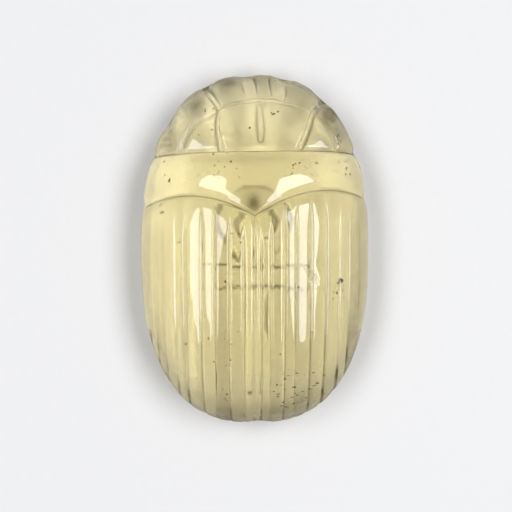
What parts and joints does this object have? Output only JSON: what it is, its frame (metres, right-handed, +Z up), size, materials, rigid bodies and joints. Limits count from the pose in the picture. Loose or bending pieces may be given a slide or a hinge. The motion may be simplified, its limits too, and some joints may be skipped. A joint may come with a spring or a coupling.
{
  "type": "scarab amulet",
  "caption": "Oval beetle-shaped amulet carved from clear pale yellow stone, with a domed ribbed back and a flat base.",
  "frame": {"origin": "middle of the flat underside", "axes": "+Z up out of the back, +Y towards the head, +X to the right as seen from above"},
  "size_m": [0.0326, 0.05, 0.014],
  "materials": {
    "stone": "polished, clear straw-yellow stone with fine dark specks"
  },
  "bodies": {
    "root": {"scarab": "stone"}
  },
  "joints": []
}
